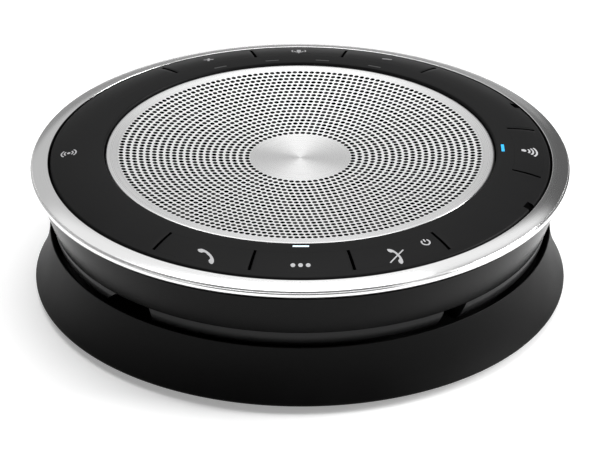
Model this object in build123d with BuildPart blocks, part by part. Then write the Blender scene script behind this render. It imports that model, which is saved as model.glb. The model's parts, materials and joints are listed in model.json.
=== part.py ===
from build123d import *
import os
from math import cos, radians, sin, sqrt

# Round tabletop speakerphone. Millimetres and degrees. +Z is up, the origin is the middle of the
# underside where the rubber feet stand, and -Y is the front, where the call keys are.

os.makedirs("parts", exist_ok=True)

# ---------------------------------------------------------------- driving dimensions
OUTER_RADIUS = 60.0              # widest point of the metal trim ring
BASE_BOTTOM = 2.0                # underside of the skirt, lifted by the feet
BASE_PLATE_RADIUS = 54.0
FLOOR_TOP = 4.0                  # top of the base plate
FOOT_SECTOR = 62.0               # angle that one foot covers
FOOT_DEPTH = 0.6                 # how deep a foot sits in the base plate
WAIST_BOTTOM = 13.5              # bottom of the waist band, above the cable slot
WAIST_TOP = 17.45
HOUSING_BOTTOM = 17.5            # underside of the upper housing
HOUSING_FLOOR = 18.9             # floor inside the upper housing
LEDGE_HEIGHT = 28.2              # ledge of the upper housing that carries panel and ring
TUB_INNER = 45.0                 # inside of the lower housing
TUB_OUTER = 47.0                 # wall that the cable winds around
WINDOW_DEPTH_RADIUS = 48.6       # back wall of the windows in the waist
CREST_HEIGHT = 32.75             # top of the crowned control panel
CREST_RADIUS = 44.5              # radius at which the panel is highest
CROWN_RADIUS = 33.0              # curvature of the panel's crown
PANEL_SKIN = 1.2
PANEL_INNER = 43.55              # hole of the panel, around the grille
PANEL_OUTER = 55.7               # rim of the panel, inside the trim ring
SHELF_BOTTOM = 28.6              # panel's inner shelf, on the baffle
SHELF_TOP = 29.5                 # the grille stands on it
KEY_INNER = 47.6                 # inner end of the keys
KEY_OUTER = 54.0                 # outer end of the keys
KEY_DEPTH = 1.8                  # thickness of a key below the crown
KEY_GAP = 0.12                   # clearance at the two ends of a key
KEY_LIP = 0.6                    # how far the hidden lip reaches under the panel
KEY_STEM = 1.5                   # radius of the stem above the switch
SLIT_ANGLE = 0.5                 # angle of the slit beside a key
KEY_TRAVEL = 0.3
GRILLE_RADIUS = 43.2             # rim of the speaker grille
GRILLE_SPHERE = 481.0            # radius of the grille's shallow dish
GRILLE_CENTRE = 30.3             # top of the grille at its centre
GRILLE_THICK = 0.8
CLOTH_THICK = 0.3
BAFFLE_BOTTOM = 27.2             # underside of the plate that carries the driver
FLANGE_TOP = 26.7                # shared top of the driver's and the chamber's flanges
MAIN_BOARD_BOTTOM = 21.0
MAIN_BOARD_TOP = 22.6
KEY_BOARD_BOTTOM = 26.2
KEY_BOARD_TOP = 27.4
SWITCH_RADIUS = 50.8             # circle on which the key switches sit
SWITCH_TOP = 28.6
LIGHT_INNER = 44.62              # slots for the light guides
LIGHT_OUTER = 45.5
LIGHT_GAP = 0.04
CABLE_ANGLE = -120.0             # where the cable enters the lower housing
CABLE_HEIGHT = 8.5
FULL_TURN = 360.0
SIZE_MARGIN = 5.0                # how far a cutter runs past what it cuts

KEYS = {                                         # middle angle of a key and the angle it takes
    "call_key": (-113.6, 23.6),
    "menu_key": (-90.0, 23.6),
    "end_call_key": (-66.4, 23.6),
    "wireless_key": (-0.3, 24.3),
    "volume_down_key": (65.7, 24.3),
    "mute_key": (90.0, 24.3),
    "volume_up_key": (114.3, 24.3),
}
KEY_WINDOWS = ((-90.0, 70.8), (-0.3, 24.3), (90.0, 72.9))    # middle and span of a panel window
MICROPHONE_ANGLES = (-26.2, 26.0)
FRONT_LIGHT = (-90.2, 4.4)                       # middle and span of a light slot
SIDE_LIGHT = (-0.1, 4.4)
REAR_LIGHTS = ((67.0, 4.0), (83.0, 4.0), (98.0, 4.0), (114.0, 4.0))


# ---------------------------------------------------------------- helpers
def polar(radius, angle):
    """The point at this radius and angle in plan."""
    return (radius * cos(radians(angle)), radius * sin(radians(angle)))


def circle_of(radius, angles):
    """One place in plan for each angle."""
    return [polar(radius, angle) for angle in angles]


def section_plane(angle):
    """The upright plane through Z that faces along this angle: x is radius, y is height."""
    heading = radians(angle)
    return Plane(origin=(0, 0, 0), x_dir=(cos(heading), sin(heading), 0),
                 z_dir=(sin(heading), -cos(heading), 0))


def radial_plane(radius, angle, height):
    """A plane square to a radius of the object, with its normal pointing outwards."""
    return Plane(origin=(*polar(radius, angle), height), z_dir=(*polar(1, angle), 0))


def turn(points, start=0.0, span=FULL_TURN, mode=Mode.ADD):
    """Turn a closed outline of (radius, height) points about Z."""
    with BuildSketch(section_plane(start)) as outline:
        with BuildLine():
            Polyline(*points, close=True)
        make_face()
    revolve(outline.sketch, axis=Axis.Z, revolution_arc=span, mode=mode)


def block(radii, heights, start=0.0, span=FULL_TURN, mode=Mode.ADD):
    """A ring, or a sector of one, of rectangular section."""
    inner, outer = radii
    low, high = heights
    turn([(inner, low), (outer, low), (outer, high), (inner, high)], start, span, mode)


def arc_band(radii, upper, lower, start=0.0, span=FULL_TURN, mode=Mode.ADD):
    """A turned band between two radii and two curved surfaces, given as height functions."""
    inner, outer = radii
    middle = (inner + outer) / 2
    with BuildSketch(section_plane(start)) as outline:
        with BuildLine():
            ThreePointArc(*[(radius, upper(radius)) for radius in (inner, middle, outer)])
            Line((outer, upper(outer)), (outer, lower(outer)))
            ThreePointArc(*[(radius, lower(radius)) for radius in (outer, middle, inner)])
            Line((inner, lower(inner)), (inner, upper(inner)))
        make_face()
    revolve(outline.sketch, axis=Axis.Z, revolution_arc=span, mode=mode)


def crown_height(radius, depth=0.0):
    """Height of the panel's crown, or of the surface this far below it."""
    centre = CREST_HEIGHT - CROWN_RADIUS
    return centre + sqrt((CROWN_RADIUS - depth) ** 2 - (radius - CREST_RADIUS) ** 2)


def crown(radii, depths, start=0.0, span=FULL_TURN, mode=Mode.ADD):
    """A band that follows the panel's crown, between two depths below it."""
    upper, lower = depths
    arc_band(radii, lambda radius: crown_height(radius, upper),
             lambda radius: crown_height(radius, lower), start, span, mode)


def dish_height(radius, depth=0.0):
    """Height of the grille's hollow face, or of the surface this far below it."""
    return GRILLE_CENTRE + GRILLE_SPHERE - sqrt((GRILLE_SPHERE + depth) ** 2 - radius ** 2)


def posts(radius, heights, places, mode=Mode.ADD):
    """Upright cylinders between two heights, at these places in plan."""
    low, high = heights
    with BuildSketch(Plane.XY.offset(low)) as rounds:
        with Locations(*places):
            Circle(radius)
    extrude(rounds.sketch, amount=high - low, mode=mode)


def chips(size, bottom, places, mode=Mode.ADD):
    """Boxes of (radial, tangential, height) size, at (radius, angle) places."""
    radial, tangential, height = size
    for radius, angle in places:
        with BuildSketch(Plane.XY.offset(bottom)) as foot:
            with Locations(Location((*polar(radius, angle), 0), (0, 0, angle))):
                Rectangle(radial, tangential)
        extrude(foot.sketch, amount=height, mode=mode)


def screws(places, shank, head, heights):
    """Pan-head screws with a cross recess. Heights are the head's outer face, its seat, the tip."""
    face, seat, tip = heights
    posts(head, (min(face, seat), max(face, seat)), places)
    posts(shank, (min(seat, tip), max(seat, tip)), places)
    slot = 0.3 * head
    with BuildSketch(Plane.XY.offset(face)) as cross:
        with Locations(*places):
            Rectangle(1.3 * head, slot)
            Rectangle(slot, 1.3 * head)
    extrude(cross.sketch, amount=(seat - face) / 2, mode=Mode.SUBTRACT)


def waist_window(low_ends, high_ends, ramp):
    """Cut a window into the waist: its end angles at the bottom and the top of the band, and the
    angle over which its back wall comes out to the surface at the second end."""
    far_radius = OUTER_RADIUS
    sections = []
    for (first, last), height in ((low_ends, WAIST_BOTTOM - 0.1), (high_ends, HOUSING_BOTTOM - 0.05)):
        with BuildSketch(Plane.XY.offset(height)) as section:
            with BuildLine():
                Polyline(polar(WINDOW_DEPTH_RADIUS, first), polar(WINDOW_DEPTH_RADIUS, last - ramp),
                         polar(55.0, last), polar(far_radius, last), polar(far_radius, first),
                         close=True)
            make_face()
        sections.append(section.sketch)
    loft(sections, ruled=True, mode=Mode.SUBTRACT)


def waist_windows():
    """The cable's way out with its ramp, at the left, and the finger notch at the right."""
    waist_window((-141.1, -124.5), (-136.0, -126.0), 8.0)
    waist_window((-58.4, -52.7), (-56.7, -50.2), 0.0)


# ---------------------------------------------------------------- base
BASE_SCREW_PLACES = circle_of(42.6, (45, 135, 225, 315))

with BuildPart() as foot_pads:
    for foot in range(4):
        block((45.6, 51.4), (0, BASE_BOTTOM + FOOT_DEPTH), 90 * foot - FOOT_SECTOR / 2, FOOT_SECTOR)
    chamfer(foot_pads.faces().group_by(Axis.Z)[0].edges(), 0.4)
foot_pads.part.label = "foot_pads"
export_step(foot_pads.part, "parts/foot_pads.step")

with BuildPart() as base_plate:
    posts(BASE_PLATE_RADIUS, (BASE_BOTTOM, FLOOR_TOP), [(0, 0)])
    for foot in range(4):
        block((45.6, 51.4), (BASE_BOTTOM, BASE_BOTTOM + FOOT_DEPTH), 90 * foot - FOOT_SECTOR / 2,
              FOOT_SECTOR, Mode.SUBTRACT)
    posts(2.5, (BASE_BOTTOM, 3.2), BASE_SCREW_PLACES, Mode.SUBTRACT)
    posts(1.4, (BASE_BOTTOM, FLOOR_TOP), BASE_SCREW_PLACES, Mode.SUBTRACT)
    posts(30.0, (BASE_BOTTOM, BASE_BOTTOM + 0.3), [(0, 0)], Mode.SUBTRACT)
base_plate.part.label = "base_plate"
export_step(base_plate.part, "parts/base_plate.step")

with BuildPart() as base_skirt:
    with BuildSketch(Plane.XZ):
        with BuildLine():
            Line((BASE_PLATE_RADIUS, BASE_BOTTOM), (59.25, BASE_BOTTOM))
            ThreePointArc((59.25, BASE_BOTTOM), (59.57, 2.13), (59.7, 2.45))
            ThreePointArc((59.7, 2.45), (57.6, 7.1), (56.1, 14.35))
            ThreePointArc((56.1, 14.35), (55.87, 14.55), (55.65, 14.4))
            Line((55.65, 14.4), (55.0, 13.66))
            Line((55.0, 13.66), (56.25, 7.0))
            ThreePointArc((56.25, 7.0), (56.6, 5.4), (57.1, FLOOR_TOP))
            Line((57.1, FLOOR_TOP), (BASE_PLATE_RADIUS, FLOOR_TOP))
            Line((BASE_PLATE_RADIUS, FLOOR_TOP), (BASE_PLATE_RADIUS, BASE_BOTTOM))
        make_face()
    revolve(axis=Axis.Z)
base_skirt.part.label = "base_skirt"
export_step(base_skirt.part, "parts/base_skirt.step")

with BuildPart() as base_screws:
    screws(BASE_SCREW_PLACES, 1.15, 2.3, (2.1, 3.2, 12.0))
base_screws.part.label = "base_screws"
export_step(base_screws.part, "parts/base_screws.step")

# ---------------------------------------------------------------- battery
TRAY_LENGTH = 60.0
TRAY_WIDTH = 38.0
BATTERY_BOTTOM = 4.8
BATTERY_TOP = 9.8
CHAMBER_BOTTOM = 11.0

with BuildPart() as battery_tray:
    with BuildSketch(Plane.XY.offset(FLOOR_TOP)):
        RectangleRounded(TRAY_LENGTH, TRAY_WIDTH, 2.0)
    extrude(amount=3.0)
    with BuildSketch(Plane.XY.offset(BATTERY_BOTTOM)):
        RectangleRounded(TRAY_LENGTH - 2.4, TRAY_WIDTH - 2.4, 1.0)
    extrude(amount=SIZE_MARGIN, mode=Mode.SUBTRACT)
battery_tray.part.label = "battery_tray"
export_step(battery_tray.part, "parts/battery_tray.step")

with BuildPart() as battery_pack:
    with BuildSketch(Plane.XY.offset(BATTERY_BOTTOM)):
        RectangleRounded(TRAY_LENGTH - 3.0, TRAY_WIDTH - 3.0, 1.5)
    extrude(amount=BATTERY_TOP - BATTERY_BOTTOM)
    fillet(battery_pack.faces().sort_by(Axis.Z)[-1].edges(), 0.8)
battery_pack.part.label = "battery_pack"
export_step(battery_pack.part, "parts/battery_pack.step")

with BuildPart() as battery_foam:
    with BuildSketch(Plane.XY.offset(BATTERY_TOP)):
        RectangleRounded(44.0, 24.0, 3.0)
    extrude(amount=CHAMBER_BOTTOM - BATTERY_TOP)
battery_foam.part.label = "battery_foam"
export_step(battery_foam.part, "parts/battery_foam.step")

# ---------------------------------------------------------------- lower housing and cable inlet
HOUSING_SCREW_PLACES = circle_of(48.6, (30, 120, 210, 285))
FLANGE_OUTER = 51.6
GROMMET_RADIUS = 2.4

with BuildPart() as lower_housing:
    turn([(TUB_INNER, FLOOR_TOP), (TUB_OUTER, FLOOR_TOP), (TUB_OUTER, WAIST_BOTTOM),
          (FLANGE_OUTER, WAIST_BOTTOM), (FLANGE_OUTER, 17.4), (TUB_INNER, 17.4)])
    posts(2.6, (FLOOR_TOP, 13.0), BASE_SCREW_PLACES)
    posts(1.2, (FLOOR_TOP, 12.5), BASE_SCREW_PLACES, Mode.SUBTRACT)
    posts(1.05, (14.5, 17.4), HOUSING_SCREW_PLACES, Mode.SUBTRACT)
    waist_windows()
    with BuildSketch(radial_plane(TUB_INNER - 1.0, CABLE_ANGLE, CABLE_HEIGHT)):
        Circle(GROMMET_RADIUS)
    extrude(amount=4.0, mode=Mode.SUBTRACT)
lower_housing.part.label = "lower_housing"
export_step(lower_housing.part, "parts/lower_housing.step")

with BuildPart() as cable_grommet:
    with BuildSketch(radial_plane(TUB_INNER - 0.6, CABLE_ANGLE, CABLE_HEIGHT)):
        Circle(GROMMET_RADIUS)
    extrude(amount=3.0)
    with BuildSketch(radial_plane(TUB_OUTER, CABLE_ANGLE, CABLE_HEIGHT)):
        Circle(GROMMET_RADIUS + 0.9)
    extrude(amount=0.9)
    with BuildSketch(radial_plane(TUB_INNER - 1.0, CABLE_ANGLE, CABLE_HEIGHT)):
        Circle(1.6)
    extrude(amount=SIZE_MARGIN, mode=Mode.SUBTRACT)
cable_grommet.part.label = "cable_grommet"
export_step(cable_grommet.part, "parts/cable_grommet.step")

with BuildPart() as cable_clamp:
    chips((5.0, 10.0, 4.0), FLOOR_TOP, [(38.2, CABLE_ANGLE)])
    fillet(cable_clamp.edges().filter_by(Axis.Z), 1.0)
    posts(0.9, (FLOOR_TOP, 8.0), [polar(38.2, CABLE_ANGLE - 5), polar(38.2, CABLE_ANGLE + 5)],
          Mode.SUBTRACT)
cable_clamp.part.label = "cable_clamp"
export_step(cable_clamp.part, "parts/cable_clamp.step")

with BuildPart() as waist_band:
    turn([(FLANGE_OUTER, WAIST_BOTTOM), (53.2, WAIST_BOTTOM), (53.9, 13.75), (54.5, 14.35),
          (54.9, 15.25), (55.12, 16.4), (55.12, WAIST_TOP), (FLANGE_OUTER, WAIST_TOP)])
    waist_windows()
waist_band.part.label = "waist_band"
export_step(waist_band.part, "parts/waist_band.step")

# ---------------------------------------------------------------- upper housing
STANDOFF_PLACES = circle_of(50.5, (0, 72, 144, 216, 306))
CONE_TOP = 28.1

with BuildPart() as upper_housing:
    turn([(46.0, HOUSING_BOTTOM), (55.3, HOUSING_BOTTOM), (59.0, CONE_TOP), (58.6, CONE_TOP),
          (58.6, 29.2), (57.5, 29.2), (57.5, LEDGE_HEIGHT), (55.0, LEDGE_HEIGHT), (55.0, 26.9),
          (56.9, 26.9), (53.9, HOUSING_FLOOR), (46.0, HOUSING_FLOOR)])
    posts(2.2, (HOUSING_FLOOR, MAIN_BOARD_BOTTOM), STANDOFF_PLACES)
    posts(1.0, (19.2, MAIN_BOARD_BOTTOM), STANDOFF_PLACES, Mode.SUBTRACT)
    posts(1.35, (HOUSING_BOTTOM, HOUSING_FLOOR), HOUSING_SCREW_PLACES, Mode.SUBTRACT)
upper_housing.part.label = "upper_housing"
export_step(upper_housing.part, "parts/upper_housing.step")

with BuildPart() as housing_screws:
    screws(HOUSING_SCREW_PLACES, 1.0, 2.2, (20.2, HOUSING_FLOOR, 14.8))
housing_screws.part.label = "housing_screws"
export_step(housing_screws.part, "parts/housing_screws.step")

# ---------------------------------------------------------------- main board
BOARD_START = -60.0
BOARD_SPAN = 300.0
CONNECTOR_PLACES = ((45.0, -40), (45.0, 78))

with BuildPart() as main_board:
    block((40.2, 52.6), (MAIN_BOARD_BOTTOM, MAIN_BOARD_TOP), BOARD_START, BOARD_SPAN)
    posts(1.2, (MAIN_BOARD_BOTTOM, MAIN_BOARD_TOP), STANDOFF_PLACES, Mode.SUBTRACT)
main_board.part.label = "main_board"
export_step(main_board.part, "parts/main_board.step")

with BuildPart() as board_screws:
    screws(STANDOFF_PLACES, 0.95, 1.9, (23.7, MAIN_BOARD_TOP, 19.5))
board_screws.part.label = "board_screws"
export_step(board_screws.part, "parts/board_screws.step")

with BuildPart() as shield_can:
    block((44.4, 51.6), (MAIN_BOARD_TOP, 24.8), 20, 44)
    block((44.7, 51.3), (MAIN_BOARD_TOP, 24.5), 20.4, 43.2, Mode.SUBTRACT)
shield_can.part.label = "shield_can"
export_step(shield_can.part, "parts/shield_can.step")

with BuildPart() as radio_module:
    chips((9.0, 14.0, 1.8), MAIN_BOARD_TOP, [(46.5, 98)])
    chips((7.0, 8.0, 0.6), MAIN_BOARD_TOP + 1.8, [(46.5, 98)])
radio_module.part.label = "radio_module"
export_step(radio_module.part, "parts/radio_module.step")

with BuildPart() as audio_processor:
    chips((8.0, 8.0, 1.0), MAIN_BOARD_TOP, [(46.5, -22)])
audio_processor.part.label = "audio_processor"
export_step(audio_processor.part, "parts/audio_processor.step")

with BuildPart() as capacitors:
    posts(1.8, (MAIN_BOARD_TOP, 25.6), circle_of(46.5, (190, 198, 228, 236)))
    fillet(capacitors.faces().group_by(Axis.Z)[-1].edges(), 0.4)
capacitors.part.label = "capacitors"
export_step(capacitors.part, "parts/capacitors.step")

with BuildPart() as board_connectors:
    chips((5.0, 8.0, 2.6), MAIN_BOARD_TOP, CONNECTOR_PLACES)
    chips((4.0, 6.8, 1.6), MAIN_BOARD_TOP + 1.0, CONNECTOR_PLACES, Mode.SUBTRACT)
board_connectors.part.label = "board_connectors"
export_step(board_connectors.part, "parts/board_connectors.step")

with BuildPart() as flex_ribbon:
    chips((0.3, 10.0, KEY_BOARD_BOTTOM - MAIN_BOARD_TOP), MAIN_BOARD_TOP, [(46.0, 170)])
flex_ribbon.part.label = "flex_ribbon"
export_step(flex_ribbon.part, "parts/flex_ribbon.step")

# ---------------------------------------------------------------- speaker chamber and baffle
CHAMBER_SCREW_PLACES = circle_of(41.3, range(0, 360, 60))
DRIVER_SCREW_PLACES = circle_of(31.8, (45, 135, 225, 315))

with BuildPart() as speaker_chamber:
    turn([(0, CHAMBER_BOTTOM), (38.4, CHAMBER_BOTTOM), (38.4, 25.2), (43.0, 25.2),
          (43.0, FLANGE_TOP), (37.0, FLANGE_TOP), (37.0, 12.2), (0, 12.2)])
    posts(1.1, (25.2, FLANGE_TOP), CHAMBER_SCREW_PLACES, Mode.SUBTRACT)
speaker_chamber.part.label = "speaker_chamber"
export_step(speaker_chamber.part, "parts/speaker_chamber.step")

with BuildPart() as chamber_gasket:
    block((37.2, 39.8), (FLANGE_TOP, BAFFLE_BOTTOM))
chamber_gasket.part.label = "chamber_gasket"
export_step(chamber_gasket.part, "parts/chamber_gasket.step")

with BuildPart() as chamber_screws:
    screws(CHAMBER_SCREW_PLACES, 0.95, 1.9, (24.1, 25.2, 28.2))
chamber_screws.part.label = "chamber_screws"
export_step(chamber_screws.part, "parts/chamber_screws.step")

with BuildPart() as speaker_baffle:
    turn([(27.5, BAFFLE_BOTTOM), (GRILLE_RADIUS, BAFFLE_BOTTOM), (GRILLE_RADIUS, SHELF_BOTTOM),
          (28.6, SHELF_BOTTOM)])
    posts(1.0, (BAFFLE_BOTTOM, 28.3), CHAMBER_SCREW_PLACES + DRIVER_SCREW_PLACES, Mode.SUBTRACT)
speaker_baffle.part.label = "speaker_baffle"
export_step(speaker_baffle.part, "parts/speaker_baffle.step")

# ---------------------------------------------------------------- loudspeaker driver
POLE_RADIUS = 7.2
COIL_INNER = 7.5
COIL_OUTER = 8.0
CONE_RIM = 22.4
LIP_THICK = 0.3
ROLL_MIDDLE = 24.6
ROLL_RADIUS = 2.0

with BuildPart() as driver_gasket:
    block((27.5, 33.5), (FLANGE_TOP, BAFFLE_BOTTOM))
    posts(1.3, (FLANGE_TOP, BAFFLE_BOTTOM), DRIVER_SCREW_PLACES, Mode.SUBTRACT)
driver_gasket.part.label = "driver_gasket"
export_step(driver_gasket.part, "parts/driver_gasket.step")

with BuildPart() as driver_basket:
    turn([(26.5, FLANGE_TOP), (33.5, FLANGE_TOP), (33.5, 25.7), (27.7, 25.7), (21.9, 18.3),
          (16.6, 18.3), (16.0, 16.5), (10.5, 16.5), (10.5, 17.3), (15.2, 17.3), (15.8, 19.1),
          (21.1, 19.1), (26.5, 25.9)])
    posts(1.2, (25.7, FLANGE_TOP), DRIVER_SCREW_PLACES, Mode.SUBTRACT)
driver_basket.part.label = "driver_basket"
export_step(driver_basket.part, "parts/driver_basket.step")

with BuildPart() as driver_screws:
    screws(DRIVER_SCREW_PLACES, 0.95, 1.6, (24.5, 25.7, 28.2))
driver_screws.part.label = "driver_screws"
export_step(driver_screws.part, "parts/driver_screws.step")

with BuildPart() as magnet_yoke:
    turn([(0, 12.5), (16.0, 12.5), (16.0, 13.8), (POLE_RADIUS, 13.8), (POLE_RADIUS, 16.5), (0, 16.5)])
magnet_yoke.part.label = "magnet_yoke"
export_step(magnet_yoke.part, "parts/magnet_yoke.step")

with BuildPart() as ring_magnet:
    block((9.8, 15.5), (13.8, 15.3))
    chamfer(ring_magnet.edges(), 0.2)
ring_magnet.part.label = "ring_magnet"
export_step(ring_magnet.part, "parts/ring_magnet.step")

with BuildPart() as top_plate:
    block((8.6, 15.5), (15.3, 16.5))
top_plate.part.label = "top_plate"
export_step(top_plate.part, "parts/top_plate.step")

with BuildPart() as voice_coil:
    block((COIL_INNER, COIL_OUTER), (14.8, 20.9))
    block((COIL_OUTER, COIL_OUTER + 0.25), (14.9, 16.9))
voice_coil.part.label = "voice_coil"
export_step(voice_coil.part, "parts/voice_coil.step")

with BuildPart() as speaker_cone:
    turn([(COIL_OUTER, 20.2), (8.8, 20.2), (CONE_RIM, 26.2), (CONE_RIM, FLANGE_TOP),
          (CONE_RIM - 0.5, FLANGE_TOP), (8.6, 20.9), (COIL_OUTER, 20.9)])
speaker_cone.part.label = "speaker_cone"
export_step(speaker_cone.part, "parts/speaker_cone.step")

CAP_TOP = 25.0
CAP_SPHERE = 17.7
CAP_THICK = 0.3


def cap_height(radius, depth=0.0):
    """Height of the dust cap's dome, or of the surface this far below it."""
    return CAP_TOP - CAP_SPHERE + sqrt((CAP_SPHERE - depth) ** 2 - radius ** 2)


with BuildPart() as dust_cap:
    arc_band((0.0, 10.0), cap_height, lambda radius: cap_height(radius, CAP_THICK))
dust_cap.part.label = "dust_cap"
export_step(dust_cap.part, "parts/dust_cap.step")

with BuildPart() as surround:
    with BuildSketch(Plane.XZ):
        with BuildLine():
            Line((CONE_RIM - 0.5, FLANGE_TOP), (ROLL_MIDDLE - ROLL_RADIUS + LIP_THICK, FLANGE_TOP))
            ThreePointArc((ROLL_MIDDLE - ROLL_RADIUS + LIP_THICK, FLANGE_TOP),
                          (ROLL_MIDDLE, FLANGE_TOP + ROLL_RADIUS),
                          (ROLL_MIDDLE + ROLL_RADIUS - LIP_THICK, FLANGE_TOP))
            Line((ROLL_MIDDLE + ROLL_RADIUS - LIP_THICK, FLANGE_TOP), (27.4, FLANGE_TOP))
            Line((27.4, FLANGE_TOP), (27.4, FLANGE_TOP + LIP_THICK))
            Line((27.4, FLANGE_TOP + LIP_THICK), (ROLL_MIDDLE + ROLL_RADIUS, FLANGE_TOP + LIP_THICK))
            ThreePointArc((ROLL_MIDDLE + ROLL_RADIUS, FLANGE_TOP + LIP_THICK),
                          (ROLL_MIDDLE, FLANGE_TOP + ROLL_RADIUS + LIP_THICK),
                          (ROLL_MIDDLE - ROLL_RADIUS, FLANGE_TOP + LIP_THICK))
            Line((ROLL_MIDDLE - ROLL_RADIUS, FLANGE_TOP + LIP_THICK),
                 (CONE_RIM - 0.5, FLANGE_TOP + LIP_THICK))
            Line((CONE_RIM - 0.5, FLANGE_TOP + LIP_THICK), (CONE_RIM - 0.5, FLANGE_TOP))
        make_face()
    revolve(axis=Axis.Z)
surround.part.label = "surround"
export_step(surround.part, "parts/surround.step")

SPIDER_RIM = 20.8
SPIDER_LOW = 19.15
SPIDER_WAVES = 5
SPIDER_PITCH = 2.0
SPIDER_HEIGHT = 0.6

with BuildPart() as spider:
    ridge = [(SPIDER_RIM, SPIDER_LOW)]
    for wave in range(SPIDER_WAVES):
        ridge.append((18.3 - SPIDER_PITCH * wave, SPIDER_LOW))
        ridge.append((18.3 - SPIDER_PITCH * (wave + 0.5), SPIDER_LOW + SPIDER_HEIGHT))
    ridge.append((COIL_OUTER + 0.1, SPIDER_LOW))
    back = [(radius, height + 0.25) for radius, height in reversed(ridge)]
    turn(ridge + back)
spider.part.label = "spider"
export_step(spider.part, "parts/spider.step")

# ---------------------------------------------------------------- grille
with BuildPart() as speaker_grille:
    with BuildSketch(Plane.XZ):
        with BuildLine():
            ThreePointArc((0, dish_height(0)), (21.4, dish_height(21.4)), (42.8, dish_height(42.8)))
            ThreePointArc((42.8, dish_height(42.8)), (43.08, dish_height(42.8) - 0.12),
                          (GRILLE_RADIUS, dish_height(42.8) - 0.4))
            Line((GRILLE_RADIUS, dish_height(42.8) - 0.4), (GRILLE_RADIUS, SHELF_TOP))
            Line((GRILLE_RADIUS, SHELF_TOP), (42.4, SHELF_TOP))
            Line((42.4, SHELF_TOP), (42.4, dish_height(42.4, GRILLE_THICK)))
            ThreePointArc((42.4, dish_height(42.4, GRILLE_THICK)),
                          (21.2, dish_height(21.2, GRILLE_THICK)), (0, dish_height(0, GRILLE_THICK)))
            Line((0, dish_height(0, GRILLE_THICK)), (0, dish_height(0)))
        make_face()
    revolve(axis=Axis.Z)
speaker_grille.part.label = "speaker_grille"
export_step(speaker_grille.part, "parts/speaker_grille.step")

with BuildPart() as grille_cloth:
    arc_band((0.0, 42.2), lambda radius: dish_height(radius, GRILLE_THICK + 0.02),
             lambda radius: dish_height(radius, GRILLE_THICK + CLOTH_THICK))
grille_cloth.part.label = "grille_cloth"
export_step(grille_cloth.part, "parts/grille_cloth.step")

with BuildPart() as grille_gasket:
    block((41.1, 42.2), (SHELF_TOP, 30.85))
grille_gasket.part.label = "grille_gasket"
export_step(grille_gasket.part, "parts/grille_gasket.step")

# ---------------------------------------------------------------- control panel and trim ring
BOSS_PLACES = circle_of(51.0, (-147, -33, 33, 147))
NOTCH_ANGLE = 2.6                # angle that one microphone notch takes

with BuildPart() as control_panel:
    crown((PANEL_INNER, PANEL_OUTER), (0, PANEL_SKIN))
    block((PANEL_INNER, 44.5), (SHELF_BOTTOM, 32.0))
    block((41.0, PANEL_INNER), (SHELF_BOTTOM, SHELF_TOP))
    block((54.9, PANEL_OUTER), (LEDGE_HEIGHT, 30.2))
    rims = control_panel.edges().filter_by(GeomType.CIRCLE)
    fillet(rims.sort_by(Axis.Z)[-1], 0.45)
    fillet(rims.sort_by(SortBy.RADIUS)[-3:].sort_by(Axis.Z)[-1], 0.35)
    posts(1.8, (KEY_BOARD_TOP, crown_height(51.0, PANEL_SKIN / 2)), BOSS_PLACES)
    posts(0.95, (KEY_BOARD_TOP, 30.2), BOSS_PLACES, Mode.SUBTRACT)
    for middle, span in KEY_WINDOWS:
        width = span + SLIT_ANGLE
        block((KEY_INNER, KEY_OUTER), (SHELF_BOTTOM, CREST_HEIGHT), middle - width / 2, width,
              Mode.SUBTRACT)
    for middle, width in (FRONT_LIGHT, SIDE_LIGHT, *REAR_LIGHTS):
        block((LIGHT_INNER, LIGHT_OUTER), (SHELF_TOP, CREST_HEIGHT + 1), middle - width / 2, width,
              Mode.SUBTRACT)
    for middle in MICROPHONE_ANGLES:
        block((54.1, PANEL_OUTER + 1), (29.6, CREST_HEIGHT), middle - NOTCH_ANGLE / 2, NOTCH_ANGLE,
              Mode.SUBTRACT)
control_panel.part.label = "control_panel"
export_step(control_panel.part, "parts/control_panel.step")

with BuildPart() as trim_ring:
    turn([(56.0, 28.3), (57.35, 28.3), (57.35, 29.35), (58.75, 29.35), (58.75, 28.3), (59.6, 28.3),
          (59.85, 28.5), (OUTER_RADIUS, 28.9), (OUTER_RADIUS, 29.5), (59.85, 29.85),
          (59.62, 29.95), (59.85, 30.08), (56.25, 30.8), (56.0, 30.7)])
trim_ring.part.label = "trim_ring"
export_step(trim_ring.part, "parts/trim_ring.step")

# ---------------------------------------------------------------- keys
KEY_PLACES = circle_of(SWITCH_RADIUS, [middle for middle, span in KEYS.values()])

for name, (middle, span) in KEYS.items():
    width = span - SLIT_ANGLE
    first = middle - width / 2
    with BuildPart() as key:
        crown((KEY_INNER + KEY_GAP, KEY_OUTER - KEY_GAP), (0, KEY_DEPTH), first, width)
        crown((KEY_INNER - KEY_LIP, KEY_OUTER + KEY_LIP), (PANEL_SKIN + 0.08, KEY_DEPTH), first, width)
        posts(KEY_STEM, (SWITCH_TOP + KEY_TRAVEL + 0.05, crown_height(SWITCH_RADIUS, 1.5)),
              [polar(SWITCH_RADIUS, middle)])
    key.part.label = name
    export_step(key.part, f"parts/{name}.step")

# ---------------------------------------------------------------- key board and its pieces
with BuildPart() as key_board:
    block((44.8, 54.4), (KEY_BOARD_BOTTOM, KEY_BOARD_TOP))
    posts(1.1, (KEY_BOARD_BOTTOM, KEY_BOARD_TOP), BOSS_PLACES, Mode.SUBTRACT)
key_board.part.label = "key_board"
export_step(key_board.part, "parts/key_board.step")

with BuildPart() as key_board_screws:
    screws(BOSS_PLACES, 0.9, 1.8, (25.1, KEY_BOARD_BOTTOM, 29.8))
key_board_screws.part.label = "key_board_screws"
export_step(key_board_screws.part, "parts/key_board_screws.step")

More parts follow.
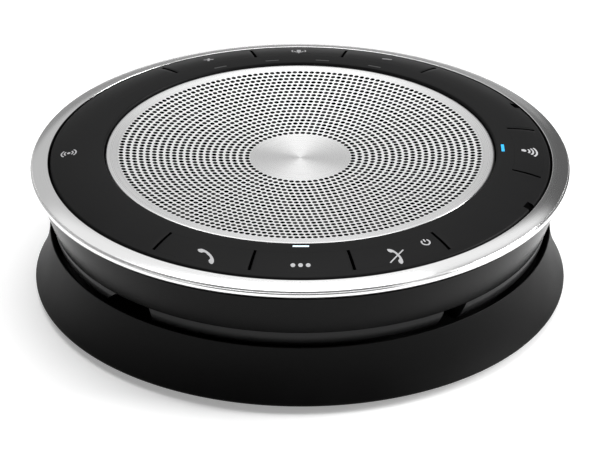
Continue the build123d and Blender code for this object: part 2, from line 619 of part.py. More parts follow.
with BuildPart() as key_switches:
    switch_places = [(SWITCH_RADIUS, middle) for middle, span in KEYS.values()]
    chips((4.2, 4.2, 0.8), KEY_BOARD_TOP, switch_places)
    posts(1.2, (KEY_BOARD_TOP + 0.8, SWITCH_TOP), KEY_PLACES)
key_switches.part.label = "key_switches"
export_step(key_switches.part, "parts/key_switches.step")

with BuildPart() as status_lights:
    chips((1.2, 2.0, 0.6), KEY_BOARD_TOP,
          [(45.5, middle) for middle, width in (FRONT_LIGHT, SIDE_LIGHT, *REAR_LIGHTS)])
status_lights.part.label = "status_lights"
export_step(status_lights.part, "parts/status_lights.step")

for name, lights in (("front_light_guide", [FRONT_LIGHT]), ("side_light_guide", [SIDE_LIGHT]),
                     ("rear_light_guides", REAR_LIGHTS)):
    with BuildPart() as guide:
        for middle, width in lights:
            crown((LIGHT_INNER + LIGHT_GAP, LIGHT_OUTER - LIGHT_GAP), (0.03, 3.4),
                  middle - width / 2 + LIGHT_GAP, width - 2 * LIGHT_GAP)
    guide.part.label = name
    export_step(guide.part, f"parts/{name}.step")

MICROPHONE_PLACES = circle_of(52.5, MICROPHONE_ANGLES)

with BuildPart() as microphones:
    posts(1.4, (KEY_BOARD_TOP, 28.6), MICROPHONE_PLACES)
microphones.part.label = "microphones"
export_step(microphones.part, "parts/microphones.step")

with BuildPart() as microphone_boots:
    posts(2.1, (KEY_BOARD_TOP, 29.7), MICROPHONE_PLACES)
    posts(1.4, (KEY_BOARD_TOP, 28.6), MICROPHONE_PLACES, Mode.SUBTRACT)
    posts(0.8, (28.6, 29.7), MICROPHONE_PLACES, Mode.SUBTRACT)
microphone_boots.part.label = "microphone_boots"
export_step(microphone_boots.part, "parts/microphone_boots.step")

with BuildPart() as antenna_carrier:
    block((46.5, 53.5), (KEY_BOARD_TOP, 29.3), 165, 30)
antenna_carrier.part.label = "antenna_carrier"
export_step(antenna_carrier.part, "parts/antenna_carrier.step")

with BuildPart() as antenna_coil:
    block((46.5, 53.5), (29.3, 29.6), 165, 30)
    block((48.1, 51.9), (29.3, 29.6), 167, 26, Mode.SUBTRACT)
antenna_coil.part.label = "antenna_coil"
export_step(antenna_coil.part, "parts/antenna_coil.step")
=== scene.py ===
import json
from math import cos, hypot, radians, sin, sqrt, tan

import bpy
from mathutils import Matrix, Vector


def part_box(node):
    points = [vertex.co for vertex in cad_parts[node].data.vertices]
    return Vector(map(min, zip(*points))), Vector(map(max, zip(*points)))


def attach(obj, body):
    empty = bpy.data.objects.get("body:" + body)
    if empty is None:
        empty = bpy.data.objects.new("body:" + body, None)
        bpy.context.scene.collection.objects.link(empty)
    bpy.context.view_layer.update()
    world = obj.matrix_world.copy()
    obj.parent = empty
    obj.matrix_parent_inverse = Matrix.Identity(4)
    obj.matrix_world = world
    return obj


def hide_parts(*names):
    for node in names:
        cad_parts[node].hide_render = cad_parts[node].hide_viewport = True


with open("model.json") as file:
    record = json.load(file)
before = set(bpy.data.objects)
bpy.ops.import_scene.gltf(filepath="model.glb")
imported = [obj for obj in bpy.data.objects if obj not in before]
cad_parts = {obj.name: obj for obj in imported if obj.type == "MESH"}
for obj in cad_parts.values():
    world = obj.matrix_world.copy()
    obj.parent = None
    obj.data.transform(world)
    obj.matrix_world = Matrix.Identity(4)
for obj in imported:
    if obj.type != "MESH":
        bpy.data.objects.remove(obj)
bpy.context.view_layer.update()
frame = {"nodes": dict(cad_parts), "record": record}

# Round tabletop speakerphone. Sizes are in millimetres, angles in degrees, and -Y is the front.
MM = 0.001
NODES = frame["nodes"]


def box_mm(node):
    """Lowest and highest corner of a CAD node, in millimetres."""
    low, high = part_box(node)
    return low / MM, high / MM


# ---------------------------------------------------------------- sizes, from the frame
RING_LOW, RING_HIGH = box_mm("trim_ring")
OUTER = RING_HIGH.x                          # outer radius of the trim ring
PANEL_HIGH = box_mm("control_panel")[1]
PANEL_GAP = 0.15                             # the visual panel stops this far inside the CAD one
PANEL_OUTER = PANEL_HIGH.x - PANEL_GAP
CREST_Z = PANEL_HIGH.z                       # highest circle of the crowned panel
GRILLE_HIGH = box_mm("speaker_grille")[1]
GRILLE_OUTER = GRILLE_HIGH.x
HOUSING_LOW = box_mm("upper_housing")[0]
BAND_LOW, BAND_HIGH = box_mm("waist_band")
SKIRT_LOW, SKIRT_HIGH = box_mm("base_skirt")

CREST_R = 44.5                               # radius of the panel's highest circle
CROWN = 33.0                                 # curvature of its crown
PANEL_INNER = 43.55
PANEL_SKIN = 1.2
KEY_INNER, KEY_OUTER = 47.6, 54.0
SLIT = 0.68                                  # angle of the slit beside a key
SEAM = 0.012                                 # hairline between a key and the panel at its ends
KEY_GROUPS = ((-90.0, 23.6, ("call", "menu", "end_call")), (-0.3, 24.3, ("wireless",)),
              (90.0, 24.3, ("volume_down", "mute", "volume_up")))  # middle, angle per key, keys
LIGHT_INNER, LIGHT_OUTER = 44.7, 45.4
LIGHTS = {"front_light": (-90.2, 4.4), "side_light": (-0.1, 4.4), "rear_light_a": (67.0, 4.0),
          "rear_light_b": (83.0, 4.0), "rear_light_c": (98.0, 4.0), "rear_light_d": (114.0, 4.0)}
NOTCHES = (-26.2, 26.0)                      # microphone notches in the panel's rim
NOTCH_INNER, NOTCH_ANGLE, NOTCH_FLOOR = 54.1, 2.6, 29.7

# Arcs of the waist band as (angle at the bottom, angle at the top, slant of the end in degrees per
# millimetre of depth) at their start and (bottom, top) at their end
BAND_ARCS = (((-124.5, -126.0, 1.2), (-58.4, -56.7)), ((-52.7, -50.2, 0.0), (218.9, 224.0)))
FLARE_CENTRE = (85.107, 16.571)              # the skirt's hollow flare is an arc about this point
FLARE_RADIUS = 29.092
FLARE_FIRST, FLARE_LAST = 209.0, 184.5       # its angles at the bottom and the top
KEY_DEPTH = 1.8                              # thickness of a key
OPENING_DEPTH = 0.25                         # walls that go deeper than this are painted dark as shade
SHADE_BAND_BOTTOM = 27.6                            # lower edge of the band under the trim ring that is painted dark as shade

DISH_SPHERE = 481.0                          # radius of the grille's hollow face
RIM_TOP_R = 42.8                             # radius of the highest circle of the grille's rim
DISH_Z = GRILLE_HIGH.z - (DISH_SPHERE - sqrt(DISH_SPHERE ** 2 - RIM_TOP_R ** 2))
GRILLE_SHEET = 0.6
HOLE_R = 0.54
HOLE_SIDES = 12
HOLE_RINGS = 20
HOLE_STEP = 1.475                            # distance between rings of holes
HOLE_SYMMETRY = 7                            # each ring has this many more holes than the last


# ---------------------------------------------------------------- mesh helpers
def crown_z(radius, depth=0.0):
    """Height of the panel's crown, or of the surface this far below it."""
    return CREST_Z - CROWN + sqrt((CROWN - depth) ** 2 - (radius - CREST_R) ** 2)


def dish_z(radius):
    """Height of the grille's hollow face."""
    return DISH_Z + DISH_SPHERE - sqrt(DISH_SPHERE ** 2 - radius ** 2)


def around(radius, angle, z):
    """The point at this radius, angle and height."""
    return (radius * cos(radians(angle)), radius * sin(radians(angle)), z)


def rounded(outline, steps=5):
    """A closed outline of (radius, height, rounding) corners, with its corners rounded."""
    path = []
    count = len(outline)
    for i, (x, z, size) in enumerate(outline):
        here = Vector((x, z))
        if not size:
            path.append((x, z))
            continue
        before = (Vector(outline[i - 1][:2]) - here).normalized()
        after = (Vector(outline[(i + 1) % count][:2]) - here).normalized()
        half = before.angle(after) / 2
        reach = size / tan(half)
        middle = here + (before + after).normalized() * (size / sin(half))
        first = here + before * reach - middle
        last = here + after * reach - middle
        turn = first.angle_signed(last)
        for k in range(steps + 1):
            spin = Matrix.Rotation(-turn * k / steps, 2)
            path.append(tuple(middle + spin @ first))
    return path


def make_piece(name, points, faces, look, body, slot, replaced=(), crease=32.0, others=()):
    """A mesh piece from points in millimetres, smooth except across its creases.

    Others lists (look, test) pairs: faces that pass the test on their corners wear that look.
    """
    mesh = bpy.data.meshes.new(name)
    mesh.from_pydata([(x * MM, y * MM, z * MM) for x, y, z in points], [], faces)
    mesh.validate()
    mesh.polygons.foreach_set("use_smooth", [True] * len(mesh.polygons))
    mesh.set_sharp_from_angle(angle=radians(crease))
    mesh.materials.append(look)
    for index, (other, test) in enumerate(others, 1):
        mesh.materials.append(other)
        for polygon in mesh.polygons:
            if test([mesh.vertices[v].co / MM for v in polygon.vertices]):
                polygon.material_index = index
    piece = bpy.data.objects.new(name, mesh)
    bpy.context.scene.collection.objects.link(piece)
    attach(piece, body)
    if replaced:
        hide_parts(*replaced)
    return piece


def lathe(outline, segments=384):
    """Points and faces of a closed outline turned once about Z."""
    rows = len(outline)
    points = [around(r, 360.0 * s / segments, z) for s in range(segments) for r, z in outline]
    faces = []
    for s in range(segments):
        here, there = s * rows, (s + 1) % segments * rows
        for i in range(rows):
            j = (i + 1) % rows
            faces.append((here + i, here + j, there + j, there + i))
    return points, outward(points, faces)


def outward(points, faces):
    """The faces, turned over together if the volume they enclose comes out negative."""
    volume = 0.0
    for face in faces:
        a = Vector(points[face[0]])
        for k in range(1, len(face) - 1):
            volume += a.dot(Vector(points[face[k]]).cross(Vector(points[face[k + 1]])))
    return faces if volume >= 0 else [tuple(reversed(face)) for face in faces]


def thickened(points, faces, drop):
    """Close an upward sheet into a solid, by a copy of it lowered by drop(point)."""
    count = len(points)
    solid = list(points) + [(x, y, z - drop((x, y, z))) for x, y, z in points]
    edges = set()
    for face in faces:
        for k in range(len(face)):
            edges.add((face[k], face[(k + 1) % len(face)]))
    rims = sorted(edge for edge in edges if (edge[1], edge[0]) not in edges)
    under = [tuple(count + v for v in reversed(face)) for face in faces]
    walls = [(b, a, a + count, b + count) for a, b in rims]
    return solid, list(faces) + under + walls


def zip_loops(inner, outer, inner_angle, outer_angle):
    """Triangles between two closed loops of vertex numbers, merged by their angles."""
    faces = []
    i = j = 0
    while i < len(inner) or j < len(outer):
        next_inner = inner_angle(i + 1)
        next_outer = outer_angle(j + 1)
        a, b = inner[i % len(inner)], outer[j % len(outer)]
        if j >= len(outer) or (i < len(inner) and next_inner < next_outer):
            faces.append((a, b, inner[(i + 1) % len(inner)]))
            i += 1
        else:
            faces.append((a, b, outer[(j + 1) % len(outer)]))
            j += 1
    return faces


# ---------------------------------------------------------------- materials
def new_look(name):
    """An empty node material with its Principled shader."""
    look = bpy.data.materials.new(name)
    look.use_nodes = True
    return look, look.node_tree.nodes, look.node_tree.links, look.node_tree.nodes["Principled BSDF"]


def object_noise(nodes, links, scale, detail=2.0, roughness=0.5, stretch=(1.0, 1.0, 1.0)):
    """A noise texture in object space, with scale in features per metre."""
    coords = nodes.new("ShaderNodeTexCoord")
    mapping = nodes.new("ShaderNodeMapping")
    mapping.inputs["Scale"].default_value = stretch
    noise = nodes.new("ShaderNodeTexNoise")
    noise.inputs["Scale"].default_value = scale
    noise.inputs["Detail"].default_value = detail
    noise.inputs["Roughness"].default_value = roughness
    links.new(coords.outputs["Object"], mapping.inputs["Vector"])
    links.new(mapping.outputs["Vector"], noise.inputs["Vector"])
    return noise.outputs["Fac"]


def radius_noise(nodes, links, scale, detail=3.0):
    """A noise that depends only on the distance from Z, as turning on a lathe leaves it."""
    coords = nodes.new("ShaderNodeTexCoord")
    flat = nodes.new("ShaderNodeVectorMath")
    flat.operation = "MULTIPLY"
    flat.inputs[1].default_value = (1.0, 1.0, 0.0)
    length = nodes.new("ShaderNodeVectorMath")
    length.operation = "LENGTH"
    noise = nodes.new("ShaderNodeTexNoise")
    noise.noise_dimensions = "1D"
    noise.inputs["Scale"].default_value = scale
    noise.inputs["Detail"].default_value = detail
    links.new(coords.outputs["Object"], flat.inputs[0])
    links.new(flat.outputs["Vector"], length.inputs[0])
    links.new(length.outputs["Value"], noise.inputs["W"])
    return noise.outputs["Fac"]


def spread(nodes, links, value, low, high):
    """The value, from its middle range, mapped to low..high."""
    ramp = nodes.new("ShaderNodeMapRange")
    ramp.inputs["From Min"].default_value = 0.3
    ramp.inputs["From Max"].default_value = 0.7
    ramp.inputs["To Min"].default_value = low
    ramp.inputs["To Max"].default_value = high
    links.new(value, ramp.inputs["Value"])
    return ramp.outputs["Result"]


def mixed_colour(nodes, links, value, first, second):
    """A colour between two, by the value."""
    mix = nodes.new("ShaderNodeMix")
    mix.data_type = "RGBA"
    mix.inputs["A"].default_value = (*first, 1.0)
    mix.inputs["B"].default_value = (*second, 1.0)
    links.new(value, mix.inputs["Factor"])
    return mix.outputs["Result"]


def bumped(nodes, links, shader, value, height, distance=0.00005):
    """A bump on the shader from the value. Distance is in metres."""
    bump = nodes.new("ShaderNodeBump")
    bump.inputs["Strength"].default_value = height
    bump.inputs["Distance"].default_value = distance
    links.new(value, bump.inputs["Height"])
    links.new(bump.outputs["Normal"], shader.inputs["Normal"])


def grained(name, dark, light, roughness, grain=5000.0, bump=0.25, specular=0.5, metallic=0.0,
            patch=60.0, coat=0.0, sheen=0.0):
    """Moulded or painted stuff: fine grain in the bump, slow patches in colour and gloss."""
    look, nodes, links, shader = new_look(name)
    patches = object_noise(nodes, links, patch, 4.0)
    fine = object_noise(nodes, links, grain, 3.0, 0.6)
    links.new(mixed_colour(nodes, links, spread(nodes, links, patches, 0.0, 1.0), dark, light),
              shader.inputs["Base Color"])
    links.new(spread(nodes, links, patches, roughness[0], roughness[1]), shader.inputs["Roughness"])
    bumped(nodes, links, shader, fine, bump)
    shader.inputs["Specular IOR Level"].default_value = specular
    shader.inputs["Metallic"].default_value = metallic
    shader.inputs["Coat Weight"].default_value = coat
    shader.inputs["Sheen Weight"].default_value = sheen
    return look


def turned_metal(name, dark, light, roughness, anisotropic, lines=9000.0, bump=0.06):
    """Aluminium turned on a lathe: fine circular lines and a stretched highlight."""
    look, nodes, links, shader = new_look(name)
    rings = radius_noise(nodes, links, lines, 4.0)
    links.new(mixed_colour(nodes, links, spread(nodes, links, rings, 0.0, 1.0), dark, light),
              shader.inputs["Base Color"])
    links.new(spread(nodes, links, rings, roughness[0], roughness[1]), shader.inputs["Roughness"])
    tangent = nodes.new("ShaderNodeTangent")
    tangent.direction_type = "RADIAL"
    tangent.axis = "Z"
    links.new(tangent.outputs["Tangent"], shader.inputs["Tangent"])
    shader.inputs["Metallic"].default_value = 1.0
    shader.inputs["Anisotropic"].default_value = anisotropic
    shader.inputs["Anisotropic Rotation"].default_value = 0.25
    bumped(nodes, links, shader, rings, bump)
    return look


def glowing(name, colour, strength, body_colour):
    """A lit light guide, its colour and glow varying a little in soft patches."""
    look, nodes, links, shader = new_look(name)
    cloud = object_noise(nodes, links, 900.0, 1.0)
    links.new(mixed_colour(nodes, links, cloud, body_colour, colour), shader.inputs["Base Color"])
    links.new(mixed_colour(nodes, links, spread(nodes, links, cloud, 0.0, 1.0), colour,
                           tuple(min(1.0, c * 1.15) for c in colour)),
              shader.inputs["Emission Color"])
    shader.inputs["Emission Strength"].default_value = strength
    shader.inputs["Roughness"].default_value = 0.35
    return look


def woven(name, dark, light, thread):
    """Cloth with crossed threads, this many per metre."""
    look, nodes, links, shader = new_look(name)
    coords = nodes.new("ShaderNodeTexCoord")
    bands = []
    for axis in ("X", "Y"):
        wave = nodes.new("ShaderNodeTexWave")
        wave.bands_direction = axis
        wave.inputs["Scale"].default_value = thread
        wave.inputs["Distortion"].default_value = 0.4
        links.new(coords.outputs["Object"], wave.inputs["Vector"])
        bands.append(wave.outputs["Fac"])
    cross = nodes.new("ShaderNodeMath")
    cross.operation = "MAXIMUM"
    links.new(bands[0], cross.inputs[0])
    links.new(bands[1], cross.inputs[1])
    links.new(mixed_colour(nodes, links, cross.outputs["Value"], dark, light),
              shader.inputs["Base Color"])
    bumped(nodes, links, shader, cross.outputs["Value"], 0.5, 0.0001)
    shader.inputs["Roughness"].default_value = 0.9
    shader.inputs["Specular IOR Level"].default_value = 0.2
    return look


def grey(value):
    return (value, value, value * 1.02)


LOOKS = {
    "rubber_base": grained("rubber_base", grey(0.0015), grey(0.0022), (0.42, 0.5), specular=0.07),
    "foot_rubber": grained("foot_rubber", grey(0.012), grey(0.02), (0.6, 0.75), specular=0.3),
    "black_plastic": grained("black_plastic", grey(0.012), grey(0.018), (0.5, 0.6), specular=0.3),
    "satin_black": grained("satin_black", grey(0.007), grey(0.010), (0.3, 0.36), bump=0.1,
                           specular=0.18),
    "soft_black": grained("soft_black", grey(0.0015), grey(0.0025), (0.2, 0.24), bump=0.12,
                          specular=0.07),
    "panel_black": grained("panel_black", grey(0.0085), grey(0.010), (0.4, 0.46), bump=0.2,
                           specular=0.05),
    "brushed_aluminium": turned_metal("brushed_aluminium", (0.80, 0.80, 0.80), (0.90, 0.90, 0.90),
                                      (0.12, 0.16), 0.7),
    "grille_aluminium": turned_metal("grille_aluminium", (0.86, 0.86, 0.86), (0.95, 0.95, 0.95),
                                     (0.26, 0.34), 0.7),
    "punched_aluminium": turned_metal("punched_aluminium", (0.92, 0.92, 0.92), (0.98, 0.98, 0.98),
                                      (0.34, 0.42), 0.2),
    # Near-black without gloss: painted shade for holes, opening walls, notches and the band under the
    # trim ring
    "hole_shade": grained("hole_shade", grey(0.001), grey(0.002), (0.8, 0.9), specular=0.0),
    "print_grey": grained("print_grey", grey(0.36), grey(0.44), (0.5, 0.6), bump=0.1),
    "faint_grey": grained("faint_grey", grey(0.26), grey(0.32), (0.5, 0.6), bump=0.1),
    "speaker_cloth": woven("speaker_cloth", grey(0.002), grey(0.006), 700.0),
    "lit_white": glowing("lit_white", (0.72, 0.90, 1.0), 0.9, (0.3, 0.35, 0.4)),
    "lit_blue": glowing("lit_blue", (0.01, 0.36, 0.72), 0.85, (0.01, 0.1, 0.2)),
    "clear_lens": grained("clear_lens", grey(0.02), grey(0.03), (0.3, 0.4), bump=0.05),
    "screw_steel": grained("screw_steel", grey(0.25), grey(0.35), (0.3, 0.45), metallic=1.0),
    "battery_wrap": grained("battery_wrap", (0.02, 0.07, 0.2), (0.03, 0.1, 0.27), (0.25, 0.4)),
    "grey_foam": grained("grey_foam", grey(0.05), grey(0.08), (0.85, 0.95), 1500.0, 0.8,
                         specular=0.2),
    "circuit_board": grained("circuit_board", (0.006, 0.07, 0.03), (0.01, 0.10, 0.045),
                             (0.3, 0.4), 900.0, 0.3),
    "tinned_steel": grained("tinned_steel", grey(0.6), grey(0.75), (0.25, 0.4), 700.0, 0.3,
                            metallic=1.0),
    "chip_black": grained("chip_black", grey(0.012), grey(0.02), (0.5, 0.6)),
    "capacitor_can": grained("capacitor_can", grey(0.65), grey(0.8), (0.25, 0.35), metallic=1.0),
    "connector_white": grained("connector_white", (0.65, 0.63, 0.56), (0.72, 0.70, 0.63),
                               (0.4, 0.5)),
    "amber_film": grained("amber_film", (0.4, 0.16, 0.02), (0.5, 0.2, 0.03), (0.25, 0.35)),
    "black_steel": grained("black_steel", grey(0.015), grey(0.025), (0.4, 0.5), 2500.0, 0.4),
    "zinc_steel": grained("zinc_steel", grey(0.5), grey(0.6), (0.3, 0.4), metallic=1.0),
    "nickel_magnet": grained("nickel_magnet", (0.6, 0.58, 0.54), (0.68, 0.66, 0.62), (0.2, 0.3),
                             metallic=1.0),
    "copper": grained("copper", (0.6, 0.22, 0.1), (0.75, 0.3, 0.14), (0.3, 0.4), metallic=1.0),
    "cone_paper": grained("cone_paper", grey(0.018), grey(0.03), (0.75, 0.85), 2500.0, 0.7,
                          specular=0.2),
    "surround_rubber": grained("surround_rubber", grey(0.014), grey(0.02), (0.45, 0.55)),
    "spider_cloth": woven("spider_cloth", (0.3, 0.17, 0.05), (0.45, 0.27, 0.09), 900.0),
}


def dress_nodes():
    """Give every carried-over CAD node the look of its slot."""
    slots = {entry["node"]: entry["material_slot"] for entry in frame["record"]["subparts"]}
    for name, node in NODES.items():
        node.data.materials.clear()
        node.data.materials.append(LOOKS[slots[name]])


# ---------------------------------------------------------------- turned shells
def make_ring():
    """The metal trim ring: sloping face, fine groove and rolled lip."""
    top_inner = PANEL_OUTER + 0.5
    outline = [
        (top_inner, RING_LOW.z + 0.1, 0), (top_inner, RING_HIGH.z, 0.12),
        (OUTER - 0.02, 30.06, 0.1), (59.45, 29.93, 0), (59.45, 29.72, 0), (59.9, 29.66, 0.1),
        (OUTER, 29.3, 0.3), (OUTER, 28.9, 0.3), (59.75, 28.5, 0.12),
        (58.8, 28.5, 0), (58.8, RING_LOW.z + 0.1, 0),
    ]
    make_piece("rim_ring", *lathe(rounded(outline), 512), LOOKS["brushed_aluminium"], "housing",
               "brushed_aluminium", ["trim_ring"], 25.0)


def under_ring(corners):
    """Whether a face of the upper housing lies in the band under the trim ring that is painted dark as
    shade.
    """
    return min(corner.z for corner in corners) > SHADE_BAND_BOTTOM


def make_cone_shell():
    """The upper housing's outside, which flares up to the trim ring, and its inner wall."""
    floor = HOUSING_LOW.z
    outline = [
        (46.0, floor, 0), (55.3, floor, 0.18), (58.82, 27.65, 0), (58.95, 28.0, 0.1),
        (58.4, 28.2, 0), (57.2, 28.2, 0),
        (55.0, 28.2, 0), (55.0, 26.9, 0), (56.9, 26.9, 0), (53.9, 18.9, 0), (46.0, 18.9, 0),
    ]
    # The top band just under the trim ring wears hole_shade: painted shade
    make_piece("cone_shell", *lathe(rounded(outline)), LOOKS["soft_black"], "housing",
               "soft_black", ["upper_housing"], others=[(LOOKS["hole_shade"], under_ring)])


def make_skirt():
    """The flared rubber skirt round the cable groove."""
    low, high = SKIRT_LOW.z, SKIRT_HIGH.z
    flare = arc(FLARE_CENTRE, FLARE_RADIUS, FLARE_FIRST, FLARE_LAST, 16)
    outline = [
        (54.0, low, 0), (59.6, low, 0.25), *((r, z, 0) for r, z in flare),
        (56.0, high, 0.2), (55.05, 13.62, 0.2), (56.6, 5.4, 0.5), (57.1, 4.0, 0), (54.0, 4.0, 0),
    ]
    make_piece("skirt", *lathe(rounded(outline, 6)), LOOKS["rubber_base"], "housing",
               "rubber_base", ["base_skirt"])


def make_band():
    """The waist band: two arcs between the cable's window and the finger notch."""
    section = rounded([
        (51.6, BAND_LOW.z, 0), (53.2, BAND_LOW.z, 0.3), (54.1, 13.9, 1.0), (54.75, 14.8, 2.0),
        (BAND_HIGH.x, 16.6, 2.0), (BAND_HIGH.x, BAND_HIGH.z, 0), (51.6, BAND_HIGH.z, 0)])
    rows, columns = len(section), 180
    points, faces = [], []
    for (low_first, high_first, ramp), (low_last, high_last) in BAND_ARCS:
        base = len(points)
        for c in range(columns + 1):
            for r, z in section:
                height = (z - BAND_LOW.z) / (BAND_HIGH.z - BAND_LOW.z)
                first = low_first + (high_first - low_first) * height - ramp * (BAND_HIGH.x - r)
                last = low_last + (high_last - low_last) * height
                points.append(around(r, first + (last - first) * c / columns, z))
        for c in range(columns):
            here, there = base + c * rows, base + (c + 1) * rows
            faces += [(here + i, here + (i + 1) % rows, there + (i + 1) % rows, there + i)
                      for i in range(rows)]
        end = base + columns * rows
        faces += [tuple(base + i for i in reversed(range(rows))), tuple(end + i for i in range(rows))]
    make_piece("waist_shell", points, outward(points, faces), LOOKS["satin_black"], "housing",
               "satin_black", ["waist_band"], 30.0)


# ---------------------------------------------------------------- perforated grille
def make_grille():
    """The dished metal grille: rings of round holes, each half a pitch on from the last."""
    points, faces = [], []
    reach = HOLE_STEP * 0.38                     # half the width of the cells' ring
    corners = ((-0.5, -1), (0.0, -1), (0.5, -1), (0.5, 0), (0.5, 1), (0.0, 1), (-0.5, 1), (-0.5, 0))

    def circle(radius, count, shift, z=None):
        first = len(points)
        for k in range(count):
            angle = 360.0 * (k + shift) / count
            points.append(around(radius, angle, dish_z(radius) if z is None else z))
        return list(range(first, first + count))

    def join(inner, inner_shift, outer, outer_shift):
        """Triangles between two rings of points, which start part of a step apart."""
        faces.extend(zip_loops(inner, outer, lambda k: (k + inner_shift) / len(inner),
                               lambda k: (k + outer_shift) / len(outer)))

    previous, previous_shift = None, 0.0
    for ring in range(1, HOLE_RINGS + 1):
        radius = HOLE_STEP * (HOLE_SYMMETRY + ring)
        count = HOLE_SYMMETRY * (HOLE_SYMMETRY + ring)
        offset = 0.5 * (ring % 2)
        inner = circle(radius - reach, 2 * count, 2 * offset - 1)
        outer = circle(radius + reach, 2 * count, 2 * offset - 1)
        middle = circle(radius, count, offset - 0.5)
        for hole in range(count):
            angle = 360.0 * (hole + offset) / count
            centre = Vector(around(radius, angle, 0))
            along = Vector(around(1, angle + 90, 0))
            out = Vector(around(1, angle, 0))
            rim = []
            for k in range(HOLE_SIDES):
                turn = radians(360.0 * k / HOLE_SIDES - 135.0)
                spot = centre + HOLE_R * (cos(turn) * along + sin(turn) * out)
                rim.append(len(points))
                points.append((spot.x, spot.y, dish_z(hypot(spot.x, spot.y))))
            edge = []
            for across, up in corners:
                step = int(2 * hole + 2 * (across + 0.5))
                if up == 0:
                    edge.append(middle[int(hole + across + 0.5) % count])
                else:
                    edge.append((inner if up < 0 else outer)[step % (2 * count)])
            faces.extend(zip_loops(rim, edge, lambda k: k / HOLE_SIDES, lambda k: k / len(corners)))
        if previous:
            join(previous, previous_shift, inner, 2 * offset - 1)
        else:
            step = inner
            shift = 2 * offset - 1
            for radius_in in (10.0, 7.5, 5.0, 2.5):
                disc = circle(radius_in, 2 * count, shift)
                join(disc, shift, step, shift)
                step = disc
            first = len(points)
            points.append((0, 0, dish_z(0)))
            faces.extend((first, step[k], step[(k + 1) % len(step)]) for k in range(len(step)))
        previous, previous_shift = outer, 2 * offset - 1
    rim_top = dish_z(RIM_TOP_R)
    for radius, height in ((40.9, None), (42.2, None), (42.78, None), (42.96, rim_top - 0.03),
                           (43.1, rim_top - 0.14), (GRILLE_OUTER, rim_top - 0.36)):
        rim = circle(radius, len(previous), previous_shift, height)
        join(previous, previous_shift, rim, previous_shift)
        previous = rim

    def drop(point):
        return 2.0 if hypot(point[0], point[1]) > 42.7 else GRILLE_SHEET

    # Hole walls and the sheet's underside wear hole_shade: painted shade in the holes
    def below(corners):
        return any(co.z < dish_z(hypot(co.x, co.y)) - 0.3 and hypot(co.x, co.y) < 42.5
                   for co in corners)

    def punched(corners):
        reach_out = HOLE_STEP * (HOLE_SYMMETRY + HOLE_RINGS + 0.5)
        return not below(corners) and all(HOLE_STEP * (HOLE_SYMMETRY + 0.5) < hypot(co.x, co.y)
                                          < reach_out for co in corners)

    points, faces = thickened(points, faces, drop)
    make_piece("grille_sheet", points, outward(points, faces), LOOKS["grille_aluminium"], "housing",
               "grille_aluminium", ["speaker_grille"], 35.0,
               [(LOOKS["punched_aluminium"], punched), (LOOKS["hole_shade"], below)])


# ---------------------------------------------------------------- control panel and keys
def rim_round(radius_edge, side, size, steps=4):
    """Rounded edge of the crown at this radius. Side is -1 for the inner edge and 1 for the outer."""
    rows = []
    for k in range(steps + 1):
        turn = radians(90.0 * k / steps)
        radius = radius_edge - side * size * (1 - sin(turn))
        rows.append((radius, crown_z(radius_edge - side * size) - size * (1 - cos(turn))))
    return rows


def panel_rows():
    """The panel's section, top first from the middle of the object outwards, then its underside."""
    top = list(reversed(rim_round(PANEL_INNER, -1, 0.42)))
    marks = (LIGHT_INNER, LIGHT_OUTER, 46.4, 47.3, KEY_INNER, 49.3, 50.5, 51.7, 52.9, KEY_OUTER,
             NOTCH_INNER, 54.8)
    top += [(radius, crown_z(radius)) for radius in marks]
    top += rim_round(PANEL_OUTER, 1, 0.6)
    top += [(PANEL_OUTER, NOTCH_FLOOR), (PANEL_OUTER, 28.3)]
    under = [(54.5, 28.3), (54.5, crown_z(54.5, PANEL_SKIN))]
    under += [(radius, crown_z(radius, PANEL_SKIN)) for radius in reversed(marks[:10])]
    under += [(44.5, crown_z(44.5, PANEL_SKIN)), (44.5, 29.6), (PANEL_INNER, 29.6)]
    return top, under


def panel_columns():
    """Angles at which the panel's mesh is cut, exact at every window, slot and notch."""
    marks = set()
    for middle, wide, keys in KEY_GROUPS:
        half = len(keys) * wide / 2 + SLIT / 2
        marks |= {middle - half - 0.15, middle - half, middle + half, middle + half + 0.15}
    for middle, width in LIGHTS.values():
        marks |= {middle - width / 2, middle + width / 2}
    for middle in NOTCHES:
        marks |= {middle - NOTCH_ANGLE / 2, middle + NOTCH_ANGLE / 2}
    marks = sorted(mark % 360 for mark in marks)
    columns = []
    for here, there in zip(marks, marks[1:] + [marks[0] + 360]):
        steps = max(1, round((there - here) / 1.0))
        columns += [(here + (there - here) * k / steps) % 360 for k in range(steps)]
    return sorted(columns)


def between(angle, middle, width):
    """Whether the angle lies inside this width about the middle."""
    return abs((angle - middle + 180) % 360 - 180) < width / 2 - 0.01


def on_edge(angle, middle, width):
    """Whether the angle is one of the two ends of this width about the middle."""
    return abs(abs((angle - middle + 180) % 360 - 180) - width / 2) < 0.01


def sunken(corners):
    """Whether a face of the crown reaches well below it, as the walls of its openings do."""
    radii = [hypot(corner.x, corner.y) for corner in corners]
    if min(radii) < PANEL_INNER + 0.15 or max(radii) > PANEL_OUTER - 0.4:
        return False
    return min(corner.z - crown_z(radius) for corner, radius in zip(corners, radii)) < -OPENING_DEPTH


def in_notch(corners):
    """Whether a face is the ramp or a wall of a microphone notch."""
    radii = [hypot(corner.x, corner.y) for corner in corners]
    return max(radii) > PANEL_OUTER - 0.1 and min(radii) < NOTCH_INNER + 0.1


